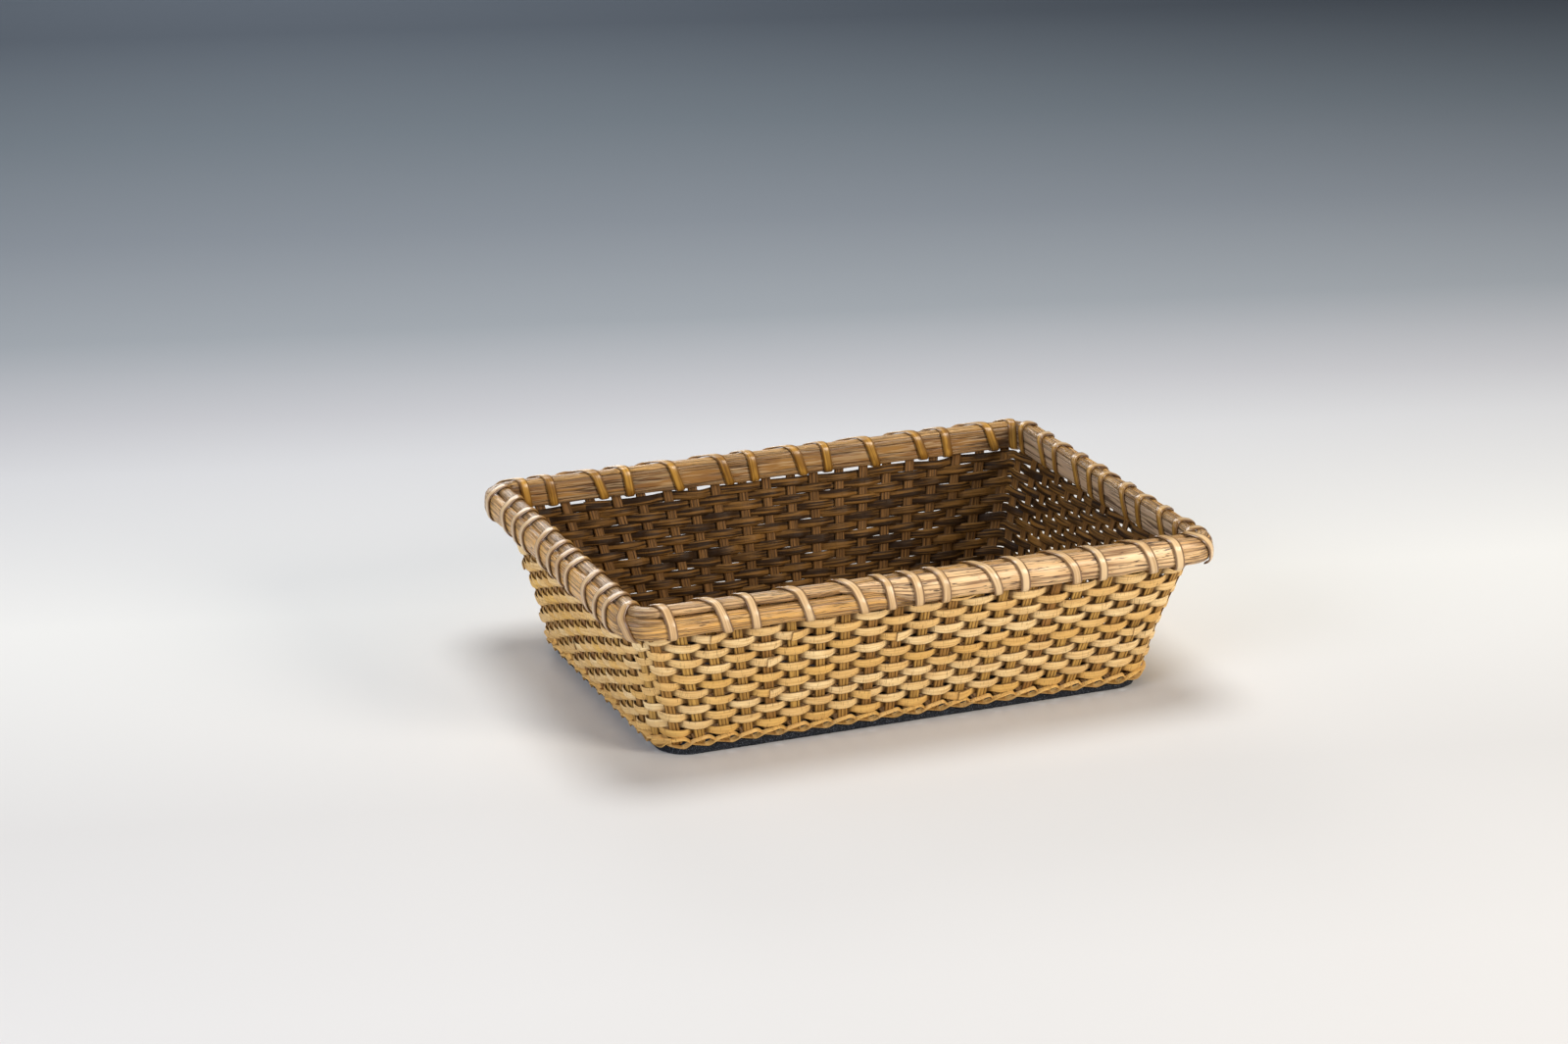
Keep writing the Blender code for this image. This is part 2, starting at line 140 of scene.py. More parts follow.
def wobble(number, seed, step, size):
    # smooth random value round the basket, changing every so many stakes
    count = round(stakesAll / step)
    table = np.random.default_rng(seed).uniform(-size, size, count)
    place = (number % stakesAll) / stakesAll * count
    low = np.floor(place).astype(int)
    return blend(table[low % count], table[(low + 1) % count], ease(place - low))


def ovalRing(count, power):
    # a flat oval from -1 to 1, squarer as the power grows
    turn = (np.arange(count) + 0.5) / count * 2 * pi
    return tuple(np.sign(value) * np.abs(value) ** (2 / power)
                 for value in (np.cos(turn), np.sin(turn)))


def runLength(points):
    steps = np.linalg.norm(np.diff(points, axis=0), axis=1)
    return np.concatenate([[0.0], np.cumsum(steps)])


def frameAlong(centre, direction):
    # the way ahead on a path, and the direction turned to stand square to it
    ahead = unit(np.gradient(centre, axis=0))
    return ahead, unit(direction - ahead * (direction * ahead).sum(-1, keepdims=True))


def sweep(centre, wide, up, halfWidth, halfDepth):
    # rings of points round a path; both halves may change round it and along it
    return (centre[:, None] + wide[:, None] * halfWidth[..., None]
            + up[:, None] * halfDepth[..., None])


def stripPart(rings, run, across, depth, marks, closed=False):
    # one swept body; strip is the place on its surface in millimetres, marks are 0 to 1
    strip = np.stack(np.broadcast_arrays(run[:, None], across, depth), -1)
    marks = {title: np.broadcast_to(value, rings.shape[:2]) for title, value in marks.items()}
    return {"rings": rings, "strip": strip, "marks": marks, "closed": closed}


def unrollParts(parts):
    # a map for the baked textures: the bodies' skins unrolled end to end, in rows
    widest = 1.25 * max(runLength(part["rings"][0])[-1] for part in parts)
    lengths = [runLength(part["rings"].mean(1)) for part in parts]
    whole = sum(run[-1] for run in lengths)
    page = whole / max(int(sqrt(whole / widest)), 1) * 1.02
    corners, row, used = [], 0, 0.0
    for part, run in zip(parts, lengths):
        rings = part["rings"]
        around = rings.shape[1]
        if part["closed"]:
            run = np.append(run, run[-1] + np.linalg.norm(rings[0].mean(0) - rings[-1].mean(0)))
        steps = len(run) - 1
        left, rowOf = np.empty(steps), np.empty(steps)
        for step in range(steps):
            if used + run[step + 1] - run[step] > page:
                row, used = row + 1, 0.0
            left[step], rowOf[step] = used, row
            used += run[step + 1] - run[step]
        right = left + np.diff(run)
        low = np.arange(around) / around * 0.92 + 0.04
        high = low + 0.92 / around
        u = np.stack([left, left, right, right], -1)[:, None]
        v = np.stack([low, high, high, low], -1) + rowOf[:, None, None]
        corners.append(np.stack(np.broadcast_arrays(u, v), -1).reshape(-1, 2))
        if not part["closed"]:
            turn = np.arange(around) / around * 2 * pi
            cap = np.stack([np.cos(turn) + used + 1, np.sin(turn) * 0.08 + 0.5 + row], -1)
            corners += [cap, cap]
            used += 2.2
    return np.concatenate(corners) / np.array([page * 1.03, row + 1])


def makeMesh(name, points, faces, layers, corners=None):
    mesh = bpy.data.meshes.new(name)
    mesh.from_pydata((points * metresPerMillimetre).tolist(), [], faces)
    for title, values in layers.items():
        kind, key = ("FLOAT_VECTOR", "vector") if values.ndim == 2 else ("FLOAT", "value")
        layer = mesh.attributes.new(title, kind, "POINT")
        layer.data.foreach_set(key, values.astype(np.float32).ravel())
    if corners is not None:
        layer = mesh.uv_layers.new(name="OFBake")
        layer.data.foreach_set("uv", corners.astype(np.float32).ravel())
    work = bmesh.new()
    work.from_mesh(mesh)
    bmesh.ops.recalc_face_normals(work, faces=work.faces[:])
    work.to_mesh(mesh)
    work.free()
    mesh.shade_smooth()
    mesh.set_sharp_from_angle(angle=radians(50))
    return mesh


def addObject(data):
    thing = bpy.data.objects.new(data.name, data)
    bpy.context.scene.collection.objects.link(thing)
    return thing


def placePiece(mesh, material, node):
    mesh.materials.append(material)
    piece = addObject(mesh)
    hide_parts(node)
    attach(piece, "root")


def makePiece(name, parts, material, node):
    faces, start = [], 0
    for part in parts:
        count, around = part["rings"].shape[:2]
        index = start + np.arange(count * around).reshape(count, around)
        here = index if part["closed"] else index[:-1]
        there = np.roll(index, -1, axis=0)[:len(here)]
        quads = np.stack([here, np.roll(here, -1, 1), np.roll(there, -1, 1), there], -1)
        faces += quads.reshape(-1, 4).tolist()
        if not part["closed"]:
            faces += [index[0].tolist(), index[-1][::-1].tolist()]
        start += count * around
    layers = {title: np.concatenate([part["marks"][title].ravel() for part in parts])
              for title in parts[0]["marks"]}
    layers["strip"] = np.concatenate([part["strip"].reshape(-1, 3) for part in parts])
    points = np.concatenate([part["rings"].reshape(-1, 3) for part in parts])
    mesh = makeMesh(name, points, faces, layers, unrollParts(parts))
    placePiece(mesh, material, node)


def hexColour(code):
    # sRGB hex to the linear values that a shader takes
    values = [int(code[place:place + 2], 16) / 255 for place in (1, 3, 5)]
    linear = [v / 12.92 if v <= 0.04045 else ((v + 0.055) / 1.055) ** 2.4 for v in values]
    return (*linear, 1.0)


def addNode(tree, kind, settings, links=None):
    # a shader node, its settings by property or socket, and what feeds its sockets:
    # one output, or the first of another node
    node = tree.nodes.new("ShaderNode" + kind)
    for key, value in settings.items():
        if isinstance(key, str) and hasattr(node, key):
            setattr(node, key, value)
        else:
            node.inputs[key].default_value = value
    for key, source in (links or {}).items():
        if isinstance(source, bpy.types.Node):
            source = source.outputs[0]
        tree.links.new(source, node.inputs[key])
    return node


def startMaterial(name, titles=""):
    # an empty material, and the values that the mesh carries for it
    material = bpy.data.materials.new(name)
    material.use_nodes = True
    tree = material.node_tree
    tree.nodes.clear()
    carried = []
    for title in titles.split():
        source = addNode(tree, "Attribute", {"attribute_name": title})
        carried.append(source.outputs["Vector" if title == "strip" else "Fac"])
    return material, tree, *carried


def grainMask(tree, place, perMillimetre, detail, low, high):
    # noise drawn out along the strip, as a mask from 0 to 1
    scaled = addNode(tree, "VectorMath", {"operation": "MULTIPLY", 1: perMillimetre}, {0: place})
    noise = addNode(tree, "TexNoise", {"Scale": 1.0, "Detail": detail, "Roughness": 0.55},
                    {"Vector": scaled})
    return addNode(tree, "MapRange", {"From Min": low, "From Max": high,
                                      "interpolation_type": "SMOOTHSTEP"}, {"Value": noise})


def fromMiddle(tree, place):
    # how far the place is from the strip's middle line, in millimetres
    parts = addNode(tree, "SeparateXYZ", {}, {0: place})
    return addNode(tree, "Math", {"operation": "ABSOLUTE"}, {0: parts.outputs["Y"]})


def edgeMask(tree, place, none, full):
    # a mask that grows towards both edges of the strip
    return addNode(tree, "MapRange", {"From Min": none, "From Max": full,
                                      "interpolation_type": "SMOOTHSTEP"},
                   {"Value": fromMiddle(tree, place)})


def layerColours(tree, paints, colour, *layers):
    # lays paints over the first, each through its mask and up to its own strength
    for mask, most, over in layers:
        share = addNode(tree, "Math", {"operation": "MULTIPLY", 1: most}, {0: mask})
        mix = addNode(tree, "Mix", {"data_type": "RGBA"}, {0: share})
        for key, paint in ((6, colour), (7, over)):
            if isinstance(paint, str):
                mix.inputs[key].default_value = hexColour(paints[paint])
            else:
                tree.links.new(paint, mix.inputs[key])
        colour = mix.outputs[2]
    return colour


def finishSurface(tree, colour, roughness, bumps, settings):
    # roughness is a mask and its two values; each bump is a mask and its height in metres
    mask, low, high = roughness
    rough = addNode(tree, "MapRange", {"To Min": low, "To Max": high}, {"Value": mask})
    height = None
    for mask, depth in bumps:
        links = {0: mask} if height is None else {0: mask, 2: height}
        height = addNode(tree, "Math", {"operation": "MULTIPLY_ADD", 1: depth, 2: 0.0}, links)
    bump = addNode(tree, "Bump", {"Strength": 1.0, "Distance": 1.0}, {"Height": height})
    shader = addNode(tree, "BsdfPrincipled", settings,
                     {"Base Color": colour, "Roughness": rough, "Normal": bump})
    addNode(tree, "OutputMaterial", {}, {"Surface": shader})


weaver = {
    "height": 4.75,  # at the middle of a float
    "crossing": 4.00,  # where it squeezes between its neighbours
    "packed": 4.60,  # the same where it is woven tighter, at the corners and
    "packedAt": (9.5, 48.5),  # between these places, at the right and the back
    "shortWall": {"height": 0.80, "thickness": 0.90},  # shares of these there
    "rightTaller": 0.10,  # the right wall's floats have this much more than the left's
    "thickness": 1.20,
    "swing": 1.46,  # how far its middle goes out and in
    "pointed": 0.15,  # 0 keeps its floats flat over the stakes, 1 rounds them off
    "cornerReach": 0.6,  # how far a corner changes its weave, in spacings
    "cornerSwing": 0.25,  # how much less it swings there
    "topLevel": 61.9,
    "pitch": 4.18,
    "steps": 11,  # sections from stake to stake
    "around": 12,
    "tilt": 3.5,
    "rise": 0.24,
    "topRise": 0.55,  # the top row wanders more, under the rim
    "endOver": 0.05,  # how far past its stake a reed ends, if it lies on top
    "endUnder": 0.34,  # and if it is tucked under
    "endLift": 0.95,  # how far an end on top stands off the reed below it
    "varies": {"swing": 0.08, "height": 0.05, "tone": 0.15},  # about so much, by chance
    "outPale": "#fddfa6",
    "outTan": "#eabd70",
    "outGolden": "#edbf63",
    "outMottle": "#dcae6c",
    "outFibre": "#ad7a38",
    # painted shade, in the hollows behind the stakes and along the reeds' edges
    "outShade": "#4e2b08",
    "outCrack": "#6b4016",
    "inDark": "#33200c",
    "inBrown": "#8c632e",
    "inFibre": "#1f1206",
}

# The rows' reeds, from the top: where each begins, whether it lies on top there (1) or
# the one before does (-1), and its tone
reedRows = (
    ((-8, 1, 0.10), (19, -1, 0.45), (43, 1, 0.05)), ((-5, 1, 0.35), (33, 1, 0.05)),
    ((14, -1, 0.1), (50, 1, 0.25)), ((-1, 1, 0.05), (27, 1, 0.35)),
    ((-6, 1, 0.0), (22, 1, 0.25), (48, -1, 0.2)), ((17, 1, 0.85), (55, 1, 0.4)),
    ((30, -1, 0.8), (58, 1, 0.55)), ((9, 1, 0.15), (37, 1, 0.3)), ((-6, 1, 0.0), (40, 1, 0.45)),
    ((21, 1, 0.2), (53, -1, 0.05)), ((-2, -1, 0.15), (34, 1, 0.35)),
    ((15, 1, 0.45), (47, 1, 0.2)), ((2, 1, 0.6), (28, -1, 0.35), (60, 1, 0.5)),
)

# Loose slivers under the rim, each with its two places, level, bow and width
sliver = {
    "stand": 0.5,  # off the wall at its ends
    "bulge": 1.7,  # and how much further in its middle
    "thickness": 0.8,
    "each": ((0.3, 2.1, 66.0, 1.1, 1.5), (0.4, 2.0, 66.0, -1.0, 1.3), (7.1, 8.7, 66.0, 1.0, 1.4),
             (7.2, 8.6, 65.9, -1.1, 1.3), (-7.4, -6.2, 66.2, 0.9, 1.2)),
}


def reedSection(centre, outward, tall, thickness, tilt=0.0):
    # a flat oval round the path: nearly flat faces and soft edges
    ahead, outward = frameAlong(centre, outward)
    rise = np.cross(outward, ahead)
    rise, outward = (rise * np.cos(tilt) + outward * np.sin(tilt),
                     outward * np.cos(tilt) - rise * np.sin(tilt))
    across, _ = ovalRing(weaver["around"], 3.8)
    _, out = ovalRing(weaver["around"], 2.6)
    tall, thickness = np.reshape(tall, (-1, 1)), np.reshape(thickness, (-1, 1))
    return sweep(centre, rise, outward, tall / 2 * across, thickness / 2 * out), across, out


def weaverReedPart(row, start, end, startOver, endOver, tone, seed):
    # one reed from end to end, outside one stake and inside the next
    number = np.linspace(start, end, int((end - start) * weaver["steps"]) + 2)
    level = weaver["topLevel"] - (row - 1) * weaver["pitch"]
    level = level + wobble(number, seed, 1.1, weaver["topRise" if row == 1 else "rise"])
    middle, _, outward, _ = wallPoint(number, level)
    wave = -np.cos(pi * (number + row))
    short = onShortWall(number)
    less = {key: 1 - short * (1 - share) for key, share in weaver["shortWall"].items()}
    varies = weaver["varies"]
    swing = weaver["swing"] * (1 + wobble(number, seed + 1, 1.0, varies["swing"]))
    onCorner = nearCorner(number, weaver["cornerReach"])
    pointed = weaver["pointed"] + (1 - weaver["pointed"]) * onCorner
    side = swing * (pointed * wave + (1 - pointed) * np.sin(pi / 2 * wave))
    side = side * (1 - weaver["cornerSwing"] * onCorner)
    thickness = weaver["thickness"] * less["thickness"]
    for over, left in ((startOver, number - start), (endOver, end - number)):
        if over:
            side = side + weaver["endLift"] * (1 - ease(left / 0.5))
        else:
            # a tucked end is pared thin
            thickness = thickness * (0.45 + 0.55 * ease(left / 0.4))
    place = number % stakesAll
    first, last = weaver["packedAt"]
    packed = np.maximum(ease((place - first) / 2) * ease((last - place) / 2), onCorner)
    crossing = blend(weaver["crossing"], weaver["packed"], packed)
    floatShare = less["height"] + weaver["rightTaller"] * short * packed
    tall = crossing + (weaver["height"] * floatShare - crossing) * np.abs(wave) ** 1.3
    tall = tall * (1 + wobble(number, seed + 2, 0.9, varies["height"]))
    tilt = np.radians(weaver["tilt"] * wobble(number, seed + 3, 1.0, 1.0))[:, None]
    centre = middle + outward * side[:, None]
    rings, across, out = reedSection(centre, outward, tall, thickness, tilt)
    # painted shade where it goes behind a stake, less on the short walls and none at the corners
    diveShade = ease(-2.0 * wave) * (1 - 0.7 * short) * (1 - onCorner)
    tone = np.clip(tone + wobble(number, seed + 4, 2.0, varies["tone"]), 0, 1)
    marks = {"tone": tone[:, None], "inner": ease(0.5 - out), "wear": diveShade[:, None]}
    # drawn in, so that the short walls' reeds have less painted shade along their edges
    halfHeight = weaver["height"] / 2 * (1 - 0.25 * np.maximum(short, onCorner))
    return stripPart(rings, runLength(centre) + seed * 37.0, across * halfHeight[:, None],
                     out * 0.6 + seed * 3.1, marks)


def sliverPart(start, end, level, bow, tall, seed):
    # bows up or down, and stands off the wall in its middle
    number = np.linspace(start, end, 25)
    arch = np.sin(pi * (number - start) / (end - start))
    middle, _, outward, _ = wallPoint(number, level + bow * arch)
    centre = middle + outward * (sliver["stand"] + sliver["bulge"] * arch)[:, None]
    rings, across, out = reedSection(centre, outward, tall * (0.35 + 0.65 * arch),
                                     sliver["thickness"] * (0.5 + 0.5 * arch))
    marks = {"tone": 0.35, "inner": ease(0.5 - out), "wear": 0.1}
    return stripPart(rings, runLength(centre) + seed * 37.0, across * tall / 2,
                     out * 0.5 + seed * 3.1, marks)


def makeWeavers(material):
    for row, reeds in enumerate(reedRows, 1):
        parts = []
        for turn, (first, way, tone) in enumerate(reeds):
            last, lastWay, _ = reeds[(turn + 1) % len(reeds)]
            if turn == len(reeds) - 1:
                last += stakesAll
            startOver, endOver = way > 0, lastWay < 0
            start = first - weaver["endOver" if startOver else "endUnder"]
            end = last + weaver["endOver" if endOver else "endUnder"]
            parts.append(weaverReedPart(row, start, end, startOver, endOver, tone,
                                        row * 10 + turn * 3))
        if row == 1:
            parts += [sliverPart(*one, 300 + place) for place, one in enumerate(sliver["each"])]
        name = f"wall_weaver_{row:02d}"
        makePiece(name + "_reed", parts, material, name)
    print("wall weavers:", len(reedRows), "rows")


# Two thin reeds twined at the foot, each outside one stake and under the bend of the next
twine = {
    "width": 2.0,
    "underWidth": 3.5,
    "crossWidth": 3.2,  # wider inwards where the two cross, on the short walls only
    "thickness": 0.85,
    "outLevel": 8.3,  # its level and stand off the wall, outside a stake
    "outStand": 1.9,
    "underLevel": 4.6,  # and under one
    "underStand": -1.2,
    "tilt": 38.0,  # degrees that the outer edge hangs, outside
    "underTilt": 6.0,
    "outside": 15,  # the first of the two passes outside this stake
    "over": 0.80,  # how far they go over and under each other
    "steps": 14,  # sections from stake to stake
    "tones": (0.45, 0.60),
    # a reed's end that comes off the wall and sticks out past the corner
    "tab": {"from": -10.9, "to": -10.2, "level": 8.0, "out": (1.9, 1.8), "width": 3.6,
            "thickness": 1.1},
}


def footReedPart(turn, way):
    # share is 1 where the reed is outside a stake and 0 where it is under one
    number = np.arange(0, stakesAll, 1 / twine["steps"])
    phase = pi * (number + twine["outside"])
    share = ease(0.5 + 0.6 * way * np.cos(phase))[:, None]
    level = twine["outLevel"] + wobble(number, 91 + turn, 1.0, 0.3)
    outside = wallPoint(number, level)[0]
    under, _, outward = outlinePoint(wall["foot"], number, twine["underStand"])
    under[:, 2] = twine["underLevel"]
    centre = blend(under, outside + outward * twine["outStand"], share)
    crossing = 4 * share * (1 - share) * onShortWall(number)[:, None]
    centre = centre - outward * crossing * twine["crossWidth"] / 2
    centre[:, 2] += twine["over"] * way * np.sin(phase)
    tilt = np.radians(blend(twine["underTilt"], twine["tilt"], share))
    width = blend(twine["underWidth"], twine["width"], share)
    width = width + twine["crossWidth"] * crossing
    ahead, wide = frameAlong(centre, outward * np.cos(tilt) - straightUp * np.sin(tilt))
    up = np.cross(ahead, wide)
    up = up * np.sign(up[:, 2:3])
    across, deep = ovalRing(12, 2.8)
    rings = sweep(centre, wide, up, width / 2 * across, twine["thickness"] / 2 * deep)
    # painted shade where it is tucked under a stake's bend
    marks = {"tone": twine["tones"][turn], "inner": 0.0, "wear": 0.45 * (1 - share)}
    return stripPart(rings, runLength(centre) + turn * 911.0, across * 1.4,
                     deep * 0.6 + 61.0 + turn * 9, marks, True)


def footTabPart():
    tab = twine["tab"]
    stand, further = tab["out"]
    share = np.linspace(1, 0, 12)
    middle, _, outward, _ = wallPoint(np.linspace(tab["from"], tab["to"], len(share)), tab["level"])
    centre = middle + outward * (stand + further * share ** 2)[:, None]
    rings, across, out = reedSection(centre, outward, tab["width"], tab["thickness"])
    marks = {"tone": 0.5, "inner": 0.0, "wear": 0.2}
    return stripPart(rings, runLength(centre) + 71.0, across * 1.8, out * 0.5 + 41.0, marks)


def makeFootWeaver(material):
    parts = [footReedPart(0, 1), footReedPart(1, -1), footTabPart()]
    makePiece("foot_weaver_reed", parts, material, "foot_weaver")
    print("foot weaver")


def wovenRattanCore():
    # split rattan core, dry and matt: fibres along it, hairline cracks across the
    # floats where it was bent, and painted shade in the hollows behind the stakes and
    # along its edges, inside too; the inside has darkened with age. Real cracks are 0.1 mm
    # wide, and are drawn three times that
    material, tree, place, tone, inner, wear = startMaterial(
        "wovenRattanCore", "strip tone inner wear")
    fibres = grainMask(tree, place, (0.05, 1.3, 1.3), 3.0, 0.38, 0.66)
    mottle = grainMask(tree, place, (0.07, 0.25, 0.25), 2.0, 0.38, 0.64)
    cracks = grainMask(tree, place, (2.1, 0.22, 0.22), 2.0, 0.58, 0.70)
    # painted shade along both edges, in the gaps between rows
    edge = edgeMask(tree, place, 1.85, 2.42)
    tan = addNode(tree, "MapRange", {"From Max": 0.5}, {"Value": tone})
    golden = addNode(tree, "MapRange", {"From Min": 0.5}, {"Value": tone})
    outer = layerColours(
        tree, weaver, "outPale", (tan, 1.0, "outTan"), (golden, 1.0, "outGolden"),
        (mottle, 0.40, "outMottle"), (fibres, 0.38, "outFibre"), (edge, 0.70, "outShade"),
        (wear, 0.88, "outShade"), (cracks, 0.50, "outCrack"))
    streaks = grainMask(tree, place, (0.03, 0.75, 0.75), 3.0, 0.42, 0.62)
    dark = layerColours(tree, weaver, "inDark", (streaks, 1.0, "inBrown"),
                        (fibres, 0.35, "inFibre"), (edge, 0.50, "inFibre"))
    colour = layerColours(tree, weaver, outer, (inner, 1.0, dark))
    finishSurface(tree, colour, (mottle, 0.46, 0.62), ((fibres, -0.00008), (cracks, -0.00010)),
                  {"Specular IOR Level": 0.18})
    return material


# Stakes, each one length of reed from rim to rim across the base
stake = {
    "width": 5.0,
    # the two sets, where those of the short walls lie over the others on the base:
    # level at the foot, thickness, spacing of the reeds that they cross on the base,
    # which side of the first they pass, and how dark their lines are
    "long": {"foot": 5.6, "thickness": 1.60, "pitch": 10.65, "side": 1, "lined": 1.0},
    "short": {"foot": 7.7, "thickness": 1.15, "pitch": 11.594, "side": -1, "lined": 0.2},
    "groove": 0.22,  # depth of the two grooves down each face
    "grooveAt": 0.9,  # from the middle line
    "bend": 2.4,
    "top": 76.0,
    "baseMiddle": 6.65,
    "baseWave": 1.05,  # how far a reed goes up and down past the ones it crosses
    "around": 20,
    "outPale": "#cfa255",
    "outBrown": "#986a38",
    "outPore": "#6d4717",
    "outLine": "#321b06",
    "inPale": "#8a6130",
    "inLine": "#2a190a",
}


def halfStake(number, level, way):
    # from the rim down to the base, and how far the wall falls back beside its middle,
    # so that a stake near a corner is curled
    height = np.concatenate([np.linspace(stake["top"], wall["headLevel"], 4, endpoint=False),
                             np.linspace(wall["headLevel"], 12.0, 14)])
    inRim = np.clip(height, None, wall["headLevel"])
    point, along, outward, _ = wallPoint(np.full(height.shape, float(number)), inRim)
    across, _ = ovalRing(stake["around"], 2.8)
    aside = way * across * stake["width"] / 2 / wall["spacing"]
    beside = number + np.tile(aside, (len(height), 1))
    fall = ((wallPoint(beside, inRim[:, None])[0] - point[:, None]) * outward[:, None]).sum(-1)
    point[:, 2] = height
    point = point + along * wobble(height / 20 + number, 55, 1.0, 0.12)[:, None]
    foot, _, _, footRise = wallPoint(np.array([float(number)]), level)
    return point, along, foot[0], footRise[0], fall


def bend(first, corner, last, turn):
    # a soft curve from the first point to the last, drawn towards the corner
    return first * (1 - turn) ** 2 + corner * 2 * turn * (1 - turn) + last * turn ** 2


def carryOver(near, middle, far, turn, count):
    # a value along the whole stake, from one wall to the other
    return np.concatenate([near, near[-1:], blend(near[-1], middle, turn),
                           np.repeat([middle], count, 0), blend(middle, far[-1], turn),
                           far[-1:], far[::-1]])


def stakePart(number, opposite, kind, place):
    # down one wall, round a bend, across the base and up the other wall
    level = kind["foot"]
    down, along, foot, footRise, fall = halfStake(number, level, 1)
    up, upAlong, farFoot, farRise, farFall = halfStake(opposite, level, -1)
    towards = unit(farFoot - foot)
    side = np.cross(towards, straightUp)
    reach = np.linalg.norm(farFoot - foot)
    inset = stake["bend"] * 0.85
    across = inset + (reach - 2 * inset) * np.linspace(0, 1, 91)
    middle = across - reach / 2
    sign = kind["side"] * (1 if place % 2 == 0 else -1)
    wave = stake["baseWave"] * np.cos(pi * middle / kind["pitch"]) * sign
    # it takes up the weave of the base 4 to 11 mm in from the wall
    settled = ease((reach / 2 - np.abs(middle) - 4.0) / 7.0)
    base = foot + towards * across[:, None]
    base[:, 2] = level + (stake["baseMiddle"] + wave - level) * settled
    corner = foot + footRise * inset
    farCorner = farFoot + farRise * inset
    turn = np.linspace(0, 1, 7)[1:-1, None]
    centre = np.concatenate([down, [corner], bend(corner, foot, base[0], turn), base,
                             bend(base[-1], farFoot, farCorner, turn), [farCorner], up[::-1]])
    wide = carryOver(along, side, -upAlong, turn, len(base))
    fall = carryOver(fall, np.zeros(stake["around"]), farFall, turn, len(base))
    ahead, wide = frameAlong(centre, wide)
    out = np.cross(ahead, wide)
    across, deep = ovalRing(stake["around"], 2.8)
    fromGroove = np.abs(across) * stake["width"] / 2 - stake["grooveAt"]
    groove = stake["groove"] * np.exp(-(fromGroove / 0.28) ** 2)
    half = kind["thickness"] / 2
    deep = deep * (1 - groove / half)
    rings = sweep(centre, wide, out, stake["width"] / 2 * across, half * deep + fall)
    tone = np.random.default_rng(number + 400).uniform(0, 1)
    marks = {"tone": tone, "inner": ease(0.5 - deep), "lined": kind["lined"]}
    return stripPart(rings, runLength(centre) + number * 531.0, across * 2.5,
                     deep * 0.9 + number * 7.3, marks)


def makeStakes(material):
    # each goes from a place on its wall to the place across the basket
    half, quarter = stakesAll // 2, stakesAll // 4
    for title, near, far in (("long", 0, half), ("short", quarter, half + quarter)):
        count = wall[title + "Stakes"]
        for step in range(count):
            place = step - (count - 1) // 2
            name = f"{title}_wall_stake_{step + 1:02d}"
            part = stakePart(near + place, far - place, stake[title], place)
            makePiece(name + "_reed", [part], material, name)
    print("stakes:", half)


def brownedRattanStake():
    # heavier rattan core, browned by the years: a few dark lines down its length,
    # where the grooves and the open pores hold dirt, and painted shade along both edges
    material, tree, place, tone, inner, lined = startMaterial(
        "brownedRattanStake", "strip tone inner lined")
    pores = grainMask(tree, place, (0.04, 1.5, 0.7), 2.0, 0.46, 0.60)
    broken = grainMask(tree, place, (0.07, 0.5, 0.5), 2.0, 0.30, 0.55)
    fromGroove = addNode(tree, "Math", {"operation": "SUBTRACT", 1: stake["grooveAt"]},
                         {0: fromMiddle(tree, place)})
    near = addNode(tree, "Math", {"operation": "ABSOLUTE"}, {0: fromGroove})
    line = addNode(tree, "MapRange", {"From Min": 0.12, "From Max": 0.42, "To Min": 1.0,
                                      "To Max": 0.0}, {"Value": near})
    unbroken = addNode(tree, "Math", {"operation": "MULTIPLY"}, {0: line, 1: lined})
    lines = addNode(tree, "Math", {"operation": "MULTIPLY"}, {0: unbroken, 1: broken})
    # painted shade along both edges
    edge = edgeMask(tree, place, 1.75, 2.4)
    outer = layerColours(
        tree, stake, "outPale", (tone, 1.0, "outBrown"), (pores, 0.45, "outPore"),
        (lines, 0.80, "outLine"), (edge, 0.72, "outLine"))
    dark = layerColours(tree, stake, "inPale", (pores, 0.50, "inLine"),
                        (lines, 0.75, "inLine"), (edge, 0.60, "inLine"))
    colour = layerColours(tree, stake, outer, (inner, 1.0, dark))
    finishSurface(tree, colour, (pores, 0.50, 0.66), ((pores, -0.00006),),
                  {"Specular IOR Level": 0.18})
    return material


# Rim canes. Each key: place round the rim, then the section's middle and half,
# outward and upward
topCane = {
    "seed": 23,
    "around": 18,
    "power": 2.3,
    "worn": 0.7,  # how much its broken fibres have darkened on the short walls
    "keys": ((-10.5, 0.4, 3.9, 77.6, 2.5), (-4.0, 0.6, 4.1, 77.5, 2.6),
             (-0.8, -2.0, 2.0, 77.9, 1.9), (10.6, -2.0, 2.2, 77.9, 1.9),
             (12.0, -0.9, 3.0, 78.2, 1.8), (25.5, -0.9, 2.9, 78.2, 1.7),
             (46.5, -0.9, 2.9, 78.2, 1.7), (48.5, -0.7, 3.7, 77.8, 2.3),
             (60.5, -0.5, 3.8, 77.7, 2.4)),
}
outerCane = {
    "seed": 3,
    "around": 24,
    "power": 2.5,
    "ragged": 0.9,  # its end is torn over this many spacings
    "keys": ((11.2, 4.2, 2.8, 71.6, 5.0), (12.2, 4.7, 3.6, 72.0, 5.9), (47.0, 4.7, 3.6, 72.0, 5.9),
             (60.5, 4.9, 3.8, 72.0, 5.9), (62.5, 4.8, 3.5, 70.9, 4.6), (69.9, 4.8, 3.5, 70.6, 4.3),
             (71.5, 5.2, 2.4, 68.4, 1.9)),
}
bigPole = {
    "seed": 5,
    "around": 28,
    "power": 2.15,
    "ragged": 0.3,
    "face": 1.2,  # it stays this far out, up to this level, beside the stakes' tops
    "faceTop": 76.4,
    "keys": ((-3.4, 1.2, 2.6, 77.3, 1.6), (-0.7, 3.4, 5.0, 73.2, 6.6), (10.8, 3.4, 5.0, 73.1, 6.6),
             (12.4, 4.2, 2.4, 71.5, 3.6)),
}
